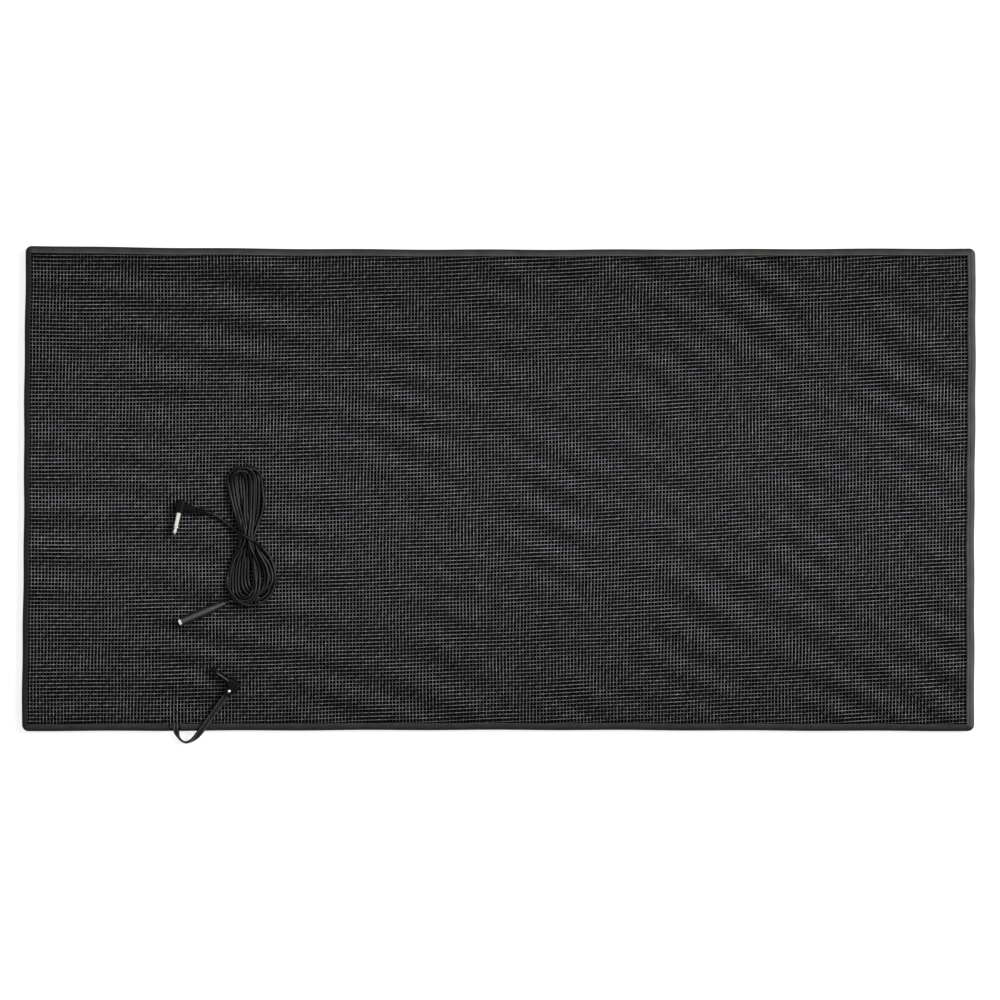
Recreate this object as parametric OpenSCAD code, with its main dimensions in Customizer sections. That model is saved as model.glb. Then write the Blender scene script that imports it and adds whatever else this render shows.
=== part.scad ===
// Pressure-sensing safety mat with a flat tail lead and a loose extension lead.
// The origin is under the middle of the mat, on the floor. X runs along the mat and Z points up.
// Stepping on the mat presses two foils together through the holes of a foam spacer.

/* [Mat] */
// Length of the mat over its binding
mat_l = 610; // [400:1:900]
// Width of the mat over its binding
mat_w = 310; // [240:1:600]
// Corner radius of the mat seen from above
corner_r = 4; // [3:0.5:10]

/* [Layers] */
// Thickness of the base sheet in the middle
base_t = 1.5; // [1.2:0.1:3]
// Thickness of each electrode foil
foil_t = 0.2; // [0.1:0.05:0.5]
// Thickness of the perforated foam spacer
foam_t = 2.1; // [2.1:0.1:5]
// Thickness of the sheet under the mesh
top_t = 0.5; // [0.3:0.1:1.5]
// Width of the sealing strip round the foils
seal_w = 10; // [6:0.5:20]
// Diameter of a contact hole in the foam
foam_hole_d = 16; // [8:1:24]
// Spacing of the contact holes
foam_hole_pitch = 40; // [32:1:60]
// Gap round the edge of each layer
layer_gap = 0.2; // [0.1:0.05:0.5]

/* [Mesh] */
// Thickness of one layer of mesh threads
thread_t = 0.45; // [0.3:0.05:0.8]
// Width of a mesh thread
thread_w = 1.3; // [0.8:0.1:1.8]
// Spacing of the threads that run along the mat
weft_pitch = 2.6; // [2.4:0.1:4]
// Spacing of the threads that run across the mat, every second thread of the cloth
warp_pitch = 5.2; // [4.8:0.1:8]

/* [Binding] */
// Width of the binding seen from above
hem_w = 4.6; // [4:0.1:8]
// Thickness of the binding's two flanges
flange_t = 0.7; // [0.5:0.1:1.1]
// Width of the binding's solid nose
nose_w = 2.2; // [1.6:0.1:2.8]
// Rounding of the nose
nose_r = 2.2; // [1:0.1:2.4]
// Width of the weld line pressed into the upper flange
weld_w = 0.7; // [0.4:0.1:1]
// Depth of the weld line
weld_deep = 0.3; // [0.1:0.05:0.4]
// Width of the notch that the tail lead leaves through
notch_w = 8; // [6:0.5:12]
// Distance of the notch from the left edge of the mat
notch_x = 98; // [60:1:160]

/* [Tail lead] */
// Width of the flat twin lead
tail_w = 4; // [3:0.1:4.6]
// Thickness of the flat twin lead
tail_t = 2; // [1.6:0.05:2]
// Diameter of one insulated core
core_d = 0.9; // [0.6:0.05:1.2]
// Thickness of a solder tag
tag_t = 0.3; // [0.2:0.05:0.5]
// Diameter of the rivet through the plug's boot
rivet_d = 2; // [1.4:0.1:2.4]

/* [Plugs and socket] */
// Diameter of a plug's pin
pin_d = 3.5; // [2.5:0.1:4]
// Length of a plug's pin from its collar
pin_l = 14; // [12:0.5:18]
// Diameter of a plug's elbow
elbow_d = 6.4; // [6:0.1:9]
// Length of a plug's elbow along its pin
elbow_l = 8.4; // [7:0.1:12]
// Reach of the extension plug's tapered boot from its pin
boot_l = 17; // [12:0.5:20]
// Diameter of the extension lead
lead_d = 2; // [1.6:0.1:2.4]
// Diameter of the inline socket
socket_d = 5.8; // [5.6:0.1:8]
// Length of the inline socket's moulding
socket_l = 30.5; // [29:0.5:31]
// Length of the socket's tapered boot
socket_boot_l = 10.5; // [8:0.5:11]
// Depth of the socket's metal barrel
barrel_l = 14; // [12:0.5:16]
// Wall of the socket's metal barrel
barrel_wall = 0.6; // [0.4:0.05:0.8]
// Length of the barrel that stands out of the moulding
barrel_out = 1.6; // [0.8:0.1:3]
// Radial play between a pin and the barrel
pin_play = 0.1; // [0.05:0.01:0.2]

/* [Hidden] */
$fn = 48;

// Levels of the layers, from the floor up
lower_foil_z = base_t;
foam_z = lower_foil_z + foil_t;
upper_foil_z = foam_z + foam_t;
top_z = upper_foil_z + foil_t;
warp_z = top_z + top_t;
weft_z = warp_z + thread_t;
mesh_z = weft_z + thread_t;
mat_t = mesh_z + flange_t;

// Outlines of the layers
least_r = 0.4;
layer_in = nose_w + layer_gap;
layer_l = mat_l - 2 * layer_in;
layer_w = mat_w - 2 * layer_in;
layer_r = max(corner_r - layer_in, least_r);
foil_l = layer_l - 2 * seal_w - 2 * layer_gap;
foil_w = layer_w - 2 * seal_w - 2 * layer_gap;
window_l = mat_l - 2 * hem_w;
window_w = mat_w - 2 * hem_w;
weld_in = (nose_w + hem_w - weld_w) / 2;
notch_deep = hem_w + layer_gap;
cut = 1;

// Mesh: the threads are joined by a closed selvedge that stays hidden under the binding
selvedge_back = 0.4;
selvedge = hem_w - layer_in - selvedge_back;
weft_count = floor((layer_w - 2 * selvedge) / weft_pitch);
warp_count = floor((layer_l - 2 * selvedge) / warp_pitch);

// Contact holes in the foam
hole_margin = 10;
hole_nx = floor((foil_l - 2 * hole_margin - foam_hole_d) / foam_hole_pitch) + 1;
hole_ny = floor((foil_w - 2 * hole_margin - foam_hole_d) / foam_hole_pitch) + 1;

// Tail lead inside the mat, in a frame at the notch: x along the front edge, y into the mat
notch_place = [notch_x - mat_l / 2, -mat_w / 2, 0];
inner_z = foam_z + foam_t / 2;
sheath_y = 36;
tag_step = 8;
lower_tag_y = sheath_y + tag_step;
upper_tag_y = lower_tag_y + tag_step;
core_x = tail_w / 4;
tag_w = 3;
tag_foot = 6;
tag_rise = foam_t / 2 + core_d / 2;
pocket_w = 20;
pocket_end = upper_tag_y + tag_step;
channel_play = 0.5;
channel_w = tail_w + 2 * channel_play;

// Plugs: the elbow's middle is where the lead's axis meets the pin's axis
elbow_r = elbow_d / 2;
plug_z = mesh_z + elbow_r;
elbow_round = 1.6;
stub_step = 0.25;
stub_d = pin_d - 2 * stub_step;
stub_l = 3;
sleeve_share = 0.64;
sleeve_l = pin_l * sleeve_share;
ring_l = 0.8;
ring_step = 0.2;
ring_d = pin_d - 2 * ring_step;
insulator_d = 2.2;
rod_d = 1.2;
neck_step = 0.55;
bulb_step = 0.05;
shoulder_step = 0.35;
point_step = 1.25;
neck_share = 0.22;
bulb_share = 0.5;
shoulder_share = 0.72;
tail_boot_l = 8.2;
tail_boot_wall = 0.3;
tail_boot_tip_d = tail_w + 2 * tail_boot_wall;
rivet_x = 5.2;
rivet_foot = 0.6;
rivet_h = 1.9;
rivet_dome = 0.4;
tail_elbow = [37, 29.7];
tail_turn = 234.5;
lead_elbow = [100.6, 143.9];
lead_turn = -12;
boot_step = 0.5;
boot_root_d = elbow_d - 2 * boot_step;
boot_wall = 0.7;
lead_boot_tip_d = lead_d + 2 * boot_wall;
boot_groove = 0.7;
boot_groove_deep = 0.5;
boot_grooves = 5;

// Inline socket
socket_z = mesh_z + socket_d / 2;
socket_rear = [129.3, 82];
socket_turn = 203;
barrel_bore_d = pin_d + 2 * pin_play;
barrel_d = barrel_bore_d + 2 * barrel_wall;
chamber_l = 5;
spring_w = 1.6;
spring_t = 0.3;

// Directions in the plan
function toward(angle) = [cos(angle), sin(angle)];
function raised(p, z) = [p[0], p[1], z];

// Tail lead route: straight out of the notch, a loop on edge just outside the mat, back over the binding.
// Each point is followed by the roll of the flat lead about its own run.
floor_gap = 0.3;
over_gap = 0.1;
straight_l = 4;
low_z = tail_w / 2 + floor_gap;
over_z = mat_t + tail_t / 2 + over_gap;
tail_end = tail_elbow + tail_boot_l * toward(tail_turn);
tail_straight = tail_end + straight_l * toward(tail_turn);
tail_route = [
    [0, sheath_y, inner_z, 0],
    [0, 28, inner_z, 0],
    [0, 20, inner_z, 0],
    [0, 12, inner_z, 0],
    [0, 7, inner_z, 0],
    [0, 3.5, inner_z + 0.15, 0],
    [0, 0.6, inner_z + 0.3, 8],
    [0.5, -1.6, inner_z + 0.4, 42],
    [1.5, -3.9, inner_z + 0.2, 76],
    [3.4, -6, low_z + 0.2, 87],
    [6, -7.1, low_z, 87],
    [9, -6.3, low_z + 0.5, 75],
    [11.8, -4.4, low_z + 1.9, 48],
    [14.2, -1.9, over_z - 0.9, 16],
    [16.5, 0.9, over_z, 4],
    [19.5, 5.1, over_z + 0.4, 0],
    [23, 10.1, over_z + 0.8, 0],
    [26.5, 15, plug_z - 0.2, 0],
    [each raised(tail_straight, plug_z), 0],
    [each raised(tail_end, plug_z), 0]
];

// Extension lead routes and the hank, in a frame at the mat's front left corner
corner_place = [-mat_l / 2, -mat_w / 2, 0];
rest_z = mesh_z + lead_d / 2;
lead_start = lead_elbow + boot_l * toward(lead_turn);
lead_straight = lead_start + straight_l * toward(lead_turn);
hank_h = 9.4;
waist_left = 138;
waist_right = 148.8;
plug_run_route = [
    raised(lead_start, plug_z),
    raised(lead_straight, plug_z),
    [124.4, 137.8, rest_z + 1],
    [127.4, 135.3, rest_z],
    [130.2, 132.9, rest_z + 0.2],
    [132.8, 130.4, rest_z + 1.5],
    [135.4, 128.4, rest_z + 2.6],
    [waist_left, 128.4, rest_z + 2.6]
];
lower_loop = [146.2, 95.8];
lower_loop_r = 15.8;
upper_loop = [141.7, 159.6];
upper_loop_r = 10;
entry_angle = 216;
entry_l = 1.5;
socket_end = lower_loop + lower_loop_r * toward(entry_angle);
socket_run_route = [
    raised(socket_rear, socket_z),
    raised(socket_rear - entry_l * toward(socket_turn), socket_z),
    raised(socket_end + entry_l * toward(entry_angle), socket_z),
    raised(socket_end, socket_z)
];
hank_waist = [
    [upper_loop[0] - upper_loop_r, upper_loop[1]],
    [upper_loop[0] - upper_loop_r + 0.6, 144],
    [waist_left, 130],
    [waist_left, 123],
    lower_loop + lower_loop_r * toward(170),
    lower_loop + lower_loop_r * toward(12),
    [waist_right, 123],
    [waist_right, 128],
    [upper_loop[0] + upper_loop_r - 0.6, 144],
    [upper_loop[0] + upper_loop_r, upper_loop[1]]
];

// Sections of the two leads, eight-sided
flat_round = 0.6;
flat_side = 0.4;
flat_section = [
    for (s = [[1, 1], [-1, 1], [-1, -1], [1, -1]])
        for (p = s[0] * s[1] > 0 ? [[1, flat_side], [0, 1]] : [[0, 1], [1, flat_side]])
            [
                s[0] * (tail_w / 2 - (1 - p[0]) * flat_round),
                s[1] * tail_t / 2 * p[1]
            ]
];
round_section = [for (k = [0 : 7]) lead_d / 2 * toward(22.5 + 45 * k)];

function unit(v) = v / norm(v);
function point(route, i) = [route[i][0], route[i][1], route[i][2]];
function run(route, i) =
    unit(point(route, min(i + 1, len(route) - 1)) - point(route, max(i - 1, 0)));
function ring(route, i, section) =
    let (
        ahead = run(route, i),
        side = unit(cross(ahead, [0, 0, 1])),
        up = cross(side, ahead),
        roll = len(route[i]) > 3 ? route[i][3] : 0
    )
    [
        for (p = section)
            point(route, i)
                + (p[0] * cos(roll) - p[1] * sin(roll)) * side
                + (p[0] * sin(roll) + p[1] * cos(roll)) * up
    ];

// A lead swept along its route, one ring of the section at each point
module swept(route, section) {
    n = len(section);
    last = len(route) - 1;
    points = [for (i = [0 : last]) each ring(route, i, section)];
    start_cap = [[for (k = [0 : n - 1]) k]];
    end_cap = [[for (k = [n - 1 : -1 : 0]) last * n + k]];
    sides = [
        for (i = [0 : last - 1])
            for (k = [0 : n - 1])
                let (a = i * n + k, b = i * n + (k + 1) % n)
                each [[a, a + n, b], [b, a + n, b + n]]
    ];
    polyhedron(points, concat(start_cap, end_cap, sides));
}

module rounded_rect(l, w, r) {
    square([l - 2 * r, w], center = true);
    square([l, w - 2 * r], center = true);
    for (x = [-1, 1])
        for (y = [-1, 1])
            translate([x * (l / 2 - r), y * (w / 2 - r)])
                circle(r);
}

module layer_outline() {
    rounded_rect(layer_l, layer_w, layer_r);
}

// The mat's outline drawn in by a given distance
module inset_outline(inset) {
    rounded_rect(mat_l - 2 * inset, mat_w - 2 * inset, max(corner_r - inset, least_r));
}

// The notch that the tail lead leaves through, open at the front
module notch_outline(w, deep) {
    translate([notch_place[0] - w / 2, notch_place[1] - cut])
        square([w, deep + cut]);
}

// A sheet that runs out under the binding, notched for the lead
module notched_sheet(z, t) {
    translate([0, 0, z])
        linear_extrude(t)
            difference() {
                layer_outline();
                notch_outline(notch_w, notch_deep);
            }
}

// Base sheet, rebated round its rim so that the binding's lower flange lies flush with it
module base_sheet() {
    color("#1e1e1f")
        union() {
            linear_extrude(base_t)
                square([window_l - 2 * layer_gap, window_w - 2 * layer_gap], center = true);
            translate([0, 0, flange_t])
                linear_extrude(base_t - flange_t)
                    layer_outline();
        }
}

module foil(z) {
    translate([0, 0, z])
        linear_extrude(foil_t)
            square([foil_l, foil_w], center = true);
}

module lower_electrode() {
    color("#b9bcc0")
        foil(lower_foil_z);
}

module upper_electrode() {
    color("#b9bcc0")
        foil(upper_foil_z);
}

// Foam with contact holes and a pocket for the lead's end and its solder tags
module foam_spacer() {
    color("#6a6d70")
        translate([0, 0, foam_z])
            linear_extrude(foam_t)
                difference() {
                    square([foil_l, foil_w], center = true);
                    for (i = [0 : hole_nx - 1])
                        for (j = [0 : hole_ny - 1])
                            translate([
                                (i - (hole_nx - 1) / 2) * foam_hole_pitch,
                                (j - (hole_ny - 1) / 2) * foam_hole_pitch
                            ])
                                circle(d = foam_hole_d);
                    notch_outline(pocket_w, pocket_end);
                }
}

module edge_seal() {
    color("#2d2e30")
        translate([0, 0, lower_foil_z])
            linear_extrude(2 * foil_t + foam_t)
                difference() {
                    layer_outline();
                    square([layer_l - 2 * seal_w, layer_w - 2 * seal_w], center = true);
                    notch_outline(channel_w, layer_in + seal_w + cut);
                    notch_outline(notch_w, notch_deep);
                }
}

module top_sheet() {
    color("#121213")
        notched_sheet(top_z, top_t);
}

// Threads across the mat, under the weft
module mesh_warp() {
    gap = warp_pitch - thread_w;
    color("#47484a")
        translate([0, 0, warp_z])
            linear_extrude(thread_t)
                difference() {
                    layer_outline();
                    for (i = [0 : warp_count - 1])
                        translate([(i - (warp_count - 1) / 2) * warp_pitch, 0])
                            square([gap, layer_w - 2 * selvedge], center = true);
                    notch_outline(notch_w, notch_deep);
                }
}

// Threads along the mat, fused to the warp where they cross
module mesh_weft() {
    gap = weft_pitch - thread_w;
    color("#525355")
        translate([0, 0, weft_z])
            linear_extrude(thread_t)
                difference() {
                    layer_outline();
                    for (i = [0 : weft_count - 1])
                        translate([0, (i - (weft_count - 1) / 2) * weft_pitch])
                            square([layer_l - 2 * selvedge, gap], center = true);
                    notch_outline(notch_w, notch_deep);
                }
}

// U-section binding with a round nose, welded round the edge of the stack along a pressed line
module edge_binding() {
    color("#2f2d2c")
        difference() {
            intersection() {
                linear_extrude(mat_t)
                    rounded_rect(mat_l, mat_w, corner_r);
                translate([0, 0, mat_t / 2])
                    rotate([90, 0, 90])
                        linear_extrude(mat_l, center = true)
                            rounded_rect(mat_w, mat_t, nose_r);
                translate([0, 0, mat_t / 2])
                    rotate([90, 0, 0])
                        linear_extrude(mat_w, center = true)
                            rounded_rect(mat_l, mat_t, nose_r);
            }
            translate([0, 0, flange_t])
                linear_extrude(mesh_z - flange_t)
                    rounded_rect(mat_l - 2 * nose_w, mat_w - 2 * nose_w, layer_r + layer_gap);
            translate([0, 0, mat_t / 2])
                cube([window_l, window_w, mat_t + 2 * cut], center = true);
            translate([0, 0, base_t])
                linear_extrude(mat_t)
                    notch_outline(notch_w, hem_w + cut);
            translate([0, 0, mat_t - weld_deep])
                linear_extrude(weld_deep + cut)
                    difference() {
                        inset_outline(weld_in);
                        inset_outline(weld_in + weld_w);
                    }
        }
}

// Solder tag: a foot on its foil and a tongue that the core's end is soldered to
module tag() {
    translate([-tag_w / 2, 0, 0])
        cube([tag_w, tag_foot, tag_t]);
    translate([-tag_w / 2, 0, 0])
        cube([tag_w, tag_t, tag_rise]);
}

module lower_tag() {
    color("#c9c5ba")
        translate(notch_place + [-core_x - tag_w / 4, lower_tag_y, foam_z])
            tag();
}

module upper_tag() {
    color("#c9c5ba")
        translate(notch_place + [core_x + tag_w / 4, upper_tag_y, upper_foil_z])
            mirror([0, 0, 1])
                tag();
}

module core(x, end_y) {
    translate(notch_place + [x, sheath_y, inner_z])
        rotate([-90, 0, 0])
            cylinder(h = end_y - sheath_y, d = core_d);
}

module lower_core() {
    color("#a8322a")
        core(-core_x, lower_tag_y);
}

module upper_core() {
    color("#202021")
        core(core_x, upper_tag_y);
}

module tail_lead() {
    color("#3a3a3c")
        translate(notch_place)
            swept(tail_route, flat_section);
}

// A plug lies flat, its boot along x and its pin along minus y, turned about the elbow's middle
module tail_plug_place() {
    translate(notch_place + raised(tail_elbow, plug_z))
        rotate(tail_turn)
            children();
}

module lead_plug_place() {
    translate(corner_place + raised(lead_elbow, plug_z))
        rotate(lead_turn)
            children();
}

// What follows the pin's axis is turned about x, so that a profile's height runs out along the pin
module along_pin() {
    translate([0, -elbow_l / 2, 0])
        rotate([90, 0, 0])
            children();
}

// Elbow with a rounded back, its boot and the blind bore that takes the pin's stub
module plug_body(reach, tip_d, grooves) {
    difference() {
        union() {
            translate([0, elbow_l / 2, 0])
                rotate([90, 0, 0])
                    rotate_extrude()
                        union() {
                            translate([0, elbow_round])
                                square([elbow_r, elbow_l - elbow_round]);
                            square([elbow_r - elbow_round, elbow_l]);
                            translate([elbow_r - elbow_round, elbow_round])
                                circle(elbow_round);
                        }
            rotate([0, 90, 0])
                cylinder(h = reach, d1 = boot_root_d, d2 = tip_d);
        }
        along_pin()
            translate([0, 0, -stub_l])
                cylinder(h = stub_l + cut, d = stub_d);
        for (i = [0 : 1 : grooves - 1])
            translate([reach - 2 * boot_groove * (i + 1), 0, 0])
                rotate([0, 90, 0])
                    boot_slot(tip_d + (boot_root_d - tip_d) * 2 * boot_groove * (i + 1) / reach);
    }
}

// One ring cut round a boot, which lets it bend
module boot_slot(d) {
    rotate_extrude()
        translate([d / 2 - boot_groove_deep, 0])
            square([boot_groove_deep + cut, boot_groove]);
}

// Outer contact of the pin, with a thinner stub held in the moulding
module plug_sleeve() {
    color("#d4d6d9")
        along_pin()
            difference() {
                union() {
                    cylinder(h = sleeve_l, d = pin_d);
                    translate([0, 0, -stub_l])
                        cylinder(h = stub_l, d = stub_d);
                }
                translate([0, 0, -stub_l - cut])
                    cylinder(h = stub_l + sleeve_l + 2 * cut, d = insulator_d);
            }
}

module plug_insulator() {
    color("#181819")
        along_pin()
            difference() {
                union() {
                    translate([0, 0, -stub_l])
                        cylinder(h = stub_l + sleeve_l, d = insulator_d);
                    translate([0, 0, sleeve_l])
                        cylinder(h = ring_l, d = ring_d);
                }
                translate([0, 0, -stub_l - cut])
                    cylinder(h = stub_l + sleeve_l + ring_l + 2 * cut, d = rod_d);
            }
}

// Tip contact: a rod through the insulator, a neck, a bulb and a blunt point
module plug_tip() {
    head = sleeve_l + ring_l;
    head_l = pin_l - head;
    pin_r = pin_d / 2;
    color("#d4d6d9")
        along_pin()
            rotate_extrude()
                polygon([
                    [0, -stub_l],
                    [rod_d / 2, -stub_l],
                    [rod_d / 2, head],
                    [pin_r - ring_step, head],
                    [pin_r - neck_step, head + head_l * neck_share],
                    [pin_r - bulb_step, head + head_l * bulb_share],
                    [pin_r - shoulder_step, head + head_l * shoulder_share],
                    [pin_r - point_step, pin_l],
                    [0, pin_l]
                ]);
}

// Domed rivet that holds the flat lead in the boot, set in a blind hole from above
module rivet_place() {
    translate([rivet_x, 0, rivet_foot])
        children();
}

module tail_rivet() {
    rivet_r = rivet_d / 2;
    color("#d4d6d9")
        tail_plug_place()
            rivet_place()
                rotate_extrude()
                    polygon([
                        [0, 0],
                        [rivet_r, 0],
                        [rivet_r, rivet_h],
                        [0.9 * rivet_r, rivet_h + 0.5 * rivet_dome],
                        [0.6 * rivet_r, rivet_h + 0.85 * rivet_dome],
                        [0, rivet_h + rivet_dome]
                    ]);
}

module tail_plug_body() {
    color("#1b1b1c")
        tail_plug_place()
            difference() {
                plug_body(tail_boot_l, tail_boot_tip_d, 0);
                rivet_place()
                    cylinder(h = elbow_d, d = rivet_d);
            }
}

module lead_plug_body() {
    color("#1b1b1c")
        lead_plug_place()
            plug_body(boot_l, lead_boot_tip_d, boot_grooves);
}

module lead_plug_run() {
    color("#3a3a3c")
        translate(corner_place)
            swept(plug_run_route, round_section);
}

module lead_socket_run() {
    color("#3a3a3c")
        translate(corner_place)
            swept(socket_run_route, round_section);
}

// The extension lead folded into a hank that is drawn in at its waist
module lead_hank() {
    color("#3a3a3c")
        translate(corner_place + [0, 0, mesh_z])
            linear_extrude(hank_h)
                union() {
                    translate(upper_loop)
                        circle(upper_loop_r);
                    translate(lower_loop)
                        circle(lower_loop_r);
                    polygon(hank_waist);
                }
}

// The inline socket lies with x out of its mouth, its rear end at the lead
module socket_place() {
    translate(corner_place + raised(socket_rear, socket_z))
        rotate(socket_turn)
            rotate([0, 90, 0])
                children();
}

// Moulding with a tapered boot and a blind hole for the barrel and the spring behind it
module lead_socket_body() {
    hole_l = barrel_l - barrel_out + chamber_l;
    color("#4b4c4e")
        socket_place()
            difference() {
                union() {
                    cylinder(h = socket_boot_l, d1 = lead_boot_tip_d, d2 = socket_d);
                    translate([0, 0, socket_boot_l])
                        cylinder(h = socket_l - socket_boot_l, d = socket_d);
                }
                translate([0, 0, socket_l - hole_l])
                    cylinder(h = hole_l + cut, d = barrel_d);
            }
}

module lead_socket_barrel() {
    color("#d4d6d9")
        socket_place()
            translate([0, 0, socket_l + barrel_out - barrel_l])
                difference() {
                    cylinder(h = barrel_l, d = barrel_d);
                    translate([0, 0, -cut])
                        cylinder(h = barrel_l + 2 * cut, d = barrel_bore_d);
                }
}

// Leaf that presses on the plug's tip, standing on the bottom of the chamber
module lead_socket_spring() {
    color("#c8a860")
        socket_place()
            translate([barrel_bore_d / 2, -spring_w / 2, socket_l + barrel_out - barrel_l - chamber_l])
                cube([spring_t, spring_w, chamber_l - layer_gap]);
}

base_sheet();
lower_electrode();
foam_spacer();
upper_electrode();
edge_seal();
top_sheet();
mesh_warp();
mesh_weft();
edge_binding();
lower_tag();
upper_tag();
lower_core();
upper_core();
tail_lead();
tail_rivet();
tail_plug_body();
tail_plug_place() plug_sleeve();  // tail_plug_sleeve
tail_plug_place() plug_insulator();  // tail_plug_insulator
tail_plug_place() plug_tip();  // tail_plug_tip
lead_plug_run();
lead_hank();
lead_socket_run();
lead_plug_body();
lead_plug_place() plug_sleeve();  // lead_plug_sleeve
lead_plug_place() plug_insulator();  // lead_plug_insulator
lead_plug_place() plug_tip();  // lead_plug_tip
lead_socket_body();
lead_socket_barrel();
lead_socket_spring();
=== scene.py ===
import math

import bmesh
import bpy
import numpy as np
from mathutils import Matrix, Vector


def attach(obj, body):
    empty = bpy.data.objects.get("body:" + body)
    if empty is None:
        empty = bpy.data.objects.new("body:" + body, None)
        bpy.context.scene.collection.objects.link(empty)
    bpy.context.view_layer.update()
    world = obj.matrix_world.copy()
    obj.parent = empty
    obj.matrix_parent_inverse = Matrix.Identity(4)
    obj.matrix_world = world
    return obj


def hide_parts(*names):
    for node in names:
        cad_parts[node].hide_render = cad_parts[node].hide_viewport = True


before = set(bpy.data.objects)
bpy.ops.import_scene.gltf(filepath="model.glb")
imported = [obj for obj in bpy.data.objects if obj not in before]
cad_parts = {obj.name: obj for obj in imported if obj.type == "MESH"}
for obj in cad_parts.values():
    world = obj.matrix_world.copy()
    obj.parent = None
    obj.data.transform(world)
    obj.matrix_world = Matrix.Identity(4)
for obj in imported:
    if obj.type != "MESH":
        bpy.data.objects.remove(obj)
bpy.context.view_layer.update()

# Camera
# The photo looks almost straight down through a long lens, from a little in front of the mat.
# The view is 641 mm wide, and its middle lies 7 mm in front of the mat's own middle.
MM = 0.001
VIEW_W = 641.2 * MM
VIEW_FROM = 9
VIEW_TILT = math.radians(2.5)
VIEW_AIM = Vector((0.44, -6.74, 5.4)) * MM
SENSOR = 36
CLIP_END = 100
scene = bpy.context.scene
scene.view_settings.view_transform = "Standard"
camera = bpy.data.objects.new("view", bpy.data.cameras.new("view"))
camera.data.sensor_width = SENSOR
camera.data.lens = SENSOR * VIEW_FROM / VIEW_W
camera.data.clip_end = CLIP_END
camera.location = VIEW_AIM + VIEW_FROM * Vector((0, -math.sin(VIEW_TILT), math.cos(VIEW_TILT)))
camera.rotation_euler = (VIEW_TILT, 0, 0)
scene.collection.objects.link(camera)
scene.camera = camera

# Extension lead
# A limp round two-core lead with a black PVC jacket, folded by hand into a hank of some eight turns.
# It starts at the socket, and its last turn crosses over the hank's waist on its way to the plug.
LEAD_D = 2 * MM
MESH_TOP = 5.4 * MM
REST_Z = MESH_TOP + LEAD_D / 2
# The hank's ends and waist in mm, and each turn's lanes measured from them: left, right and dip of the upper
# loop, then left, right and rise of the bend that leads into the turn at the lower end
UPPER_END = (-163.3, 14.6)
LOWER_END = (-158.8, -74.2)
WAIST = (-161.4, -31)
WAIST_LANES = (2.6, 0.9)
UPPER_LANES = [(-3.2, 9.2, 0), (-9.2, 3.2, 0.4), (-5.2, 7.2, 0.2), (-7.2, 5.2, 0.8), (-1.2, 9.8, 0.6),
               (-9.8, 1.4, 1.2), (-6.2, 6.2, 0), (-8.2, 4.2, 1.6)]
LOWER_LANES = [(-12.5, 11.4, 1.6), (-2.4, 13.6, 8), (-4.6, 11.2, 7), (-6.8, 8.8, 6), (-9, 3.2, 4.6),
               (-11, 1.6, 3.2), (-12.4, 3, 2), (-13.6, 4.8, 0.9), (-15.1, 15, 0)]
LOOSE_TURN = 4
LOOSE_BOW = 3.2
TURN_RISE = 0.85
LAYER_RISE = 2
# Where the lanes draw together above and below the waist, and the share of their spread that is left there
NECK_Y = -12
HIP_Y = -50
HIP_SPREAD = 0.9
NECK_RIGHT, NECK_LEFT, NECK_SHIFT = 0.85, 0.7, 0.6
SOCKET_ROUTE = [(-175.7, -73, 8.3), (-174.3, -72.4, 8.3), (-171.6, -71.4, 7.9), (-168.2, -71.1, 7.1),
                (-164.4, -71.8, 6.5)]
PLUG_ROUTE = [(-144, -53.5, 10), (-145.4, -46.4, 10.6), (-149.2, -39.8, 11.8), (-154.8, -34.9, 13),
              (-160, -31.8, 13.8), (-163.7, -29.4, 13.4), (-167, -27.2, 11.2), (-170.2, -25, 8.8),
              (-173.4, -22.7, 7), (-177.6, -19.7, 6.4), (-180.6, -17.2, 7.4), (-183.86, -15.46, 8.6),
              (-187.77, -14.63, 8.6)]
# The round ends in degrees. The first lower one is joined part of the way round, where the lead comes in
# from the socket.
LOWER_ARC = (200, 350)
UPPER_ARC = (0, 180)
JOINED_AT = 4
ARC_POINTS = 7
SPAN_POINTS = 24
# How the turns settle: the mm that they sink in a round, and the shares of a drift, bend, stretch or overlap
# that are taken back. Points nearer than NEAR diameters and more than SKIP steps apart may touch.
SINK, PULL_HOME, STIFF, GIVE = 0.02, 0.02, 0.11, 0.3
ROUNDS, PASSES, LOOK_AGAIN = 400, 2, 5
NEAR = 1.7
SKIP = 6
LAY_STEP, DRAW_STEP = 1.5, 1.0
SMOOTHINGS, SMOOTH_SHARE = 6, 0.25


def linear(colour):
    """An sRGB hex colour as linear red, green, blue and alpha."""
    shares = [int(colour[i:i + 2], 16) / 255 for i in (1, 3, 5)]
    return [*(s / 12.92 if s <= 0.04045 else ((s + 0.055) / 1.055) ** 2.4 for s in shares), 1]


def add_node(material, kind, inputs=None, **settings):
    """A new node with its settings, and with each input given a value or linked to another node's output."""
    node = material.node_tree.nodes.new(kind)
    for name, value in settings.items():
        setattr(node, name, value)
    for socket, value in (inputs or {}).items():
        if isinstance(value, bpy.types.NodeSocket):
            material.node_tree.links.new(value, node.inputs[socket])
        else:
            node.inputs[socket].default_value = value
    return node


def new_material(name, **sockets):
    """A material whose shader has the sockets that are the same all over its surface."""
    material = bpy.data.materials.new(name)
    material.use_nodes = True
    shader = material.node_tree.nodes["Principled BSDF"]
    for socket, value in sockets.items():
        shader.inputs[socket.replace("_", " ")].default_value = value
    return material


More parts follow.
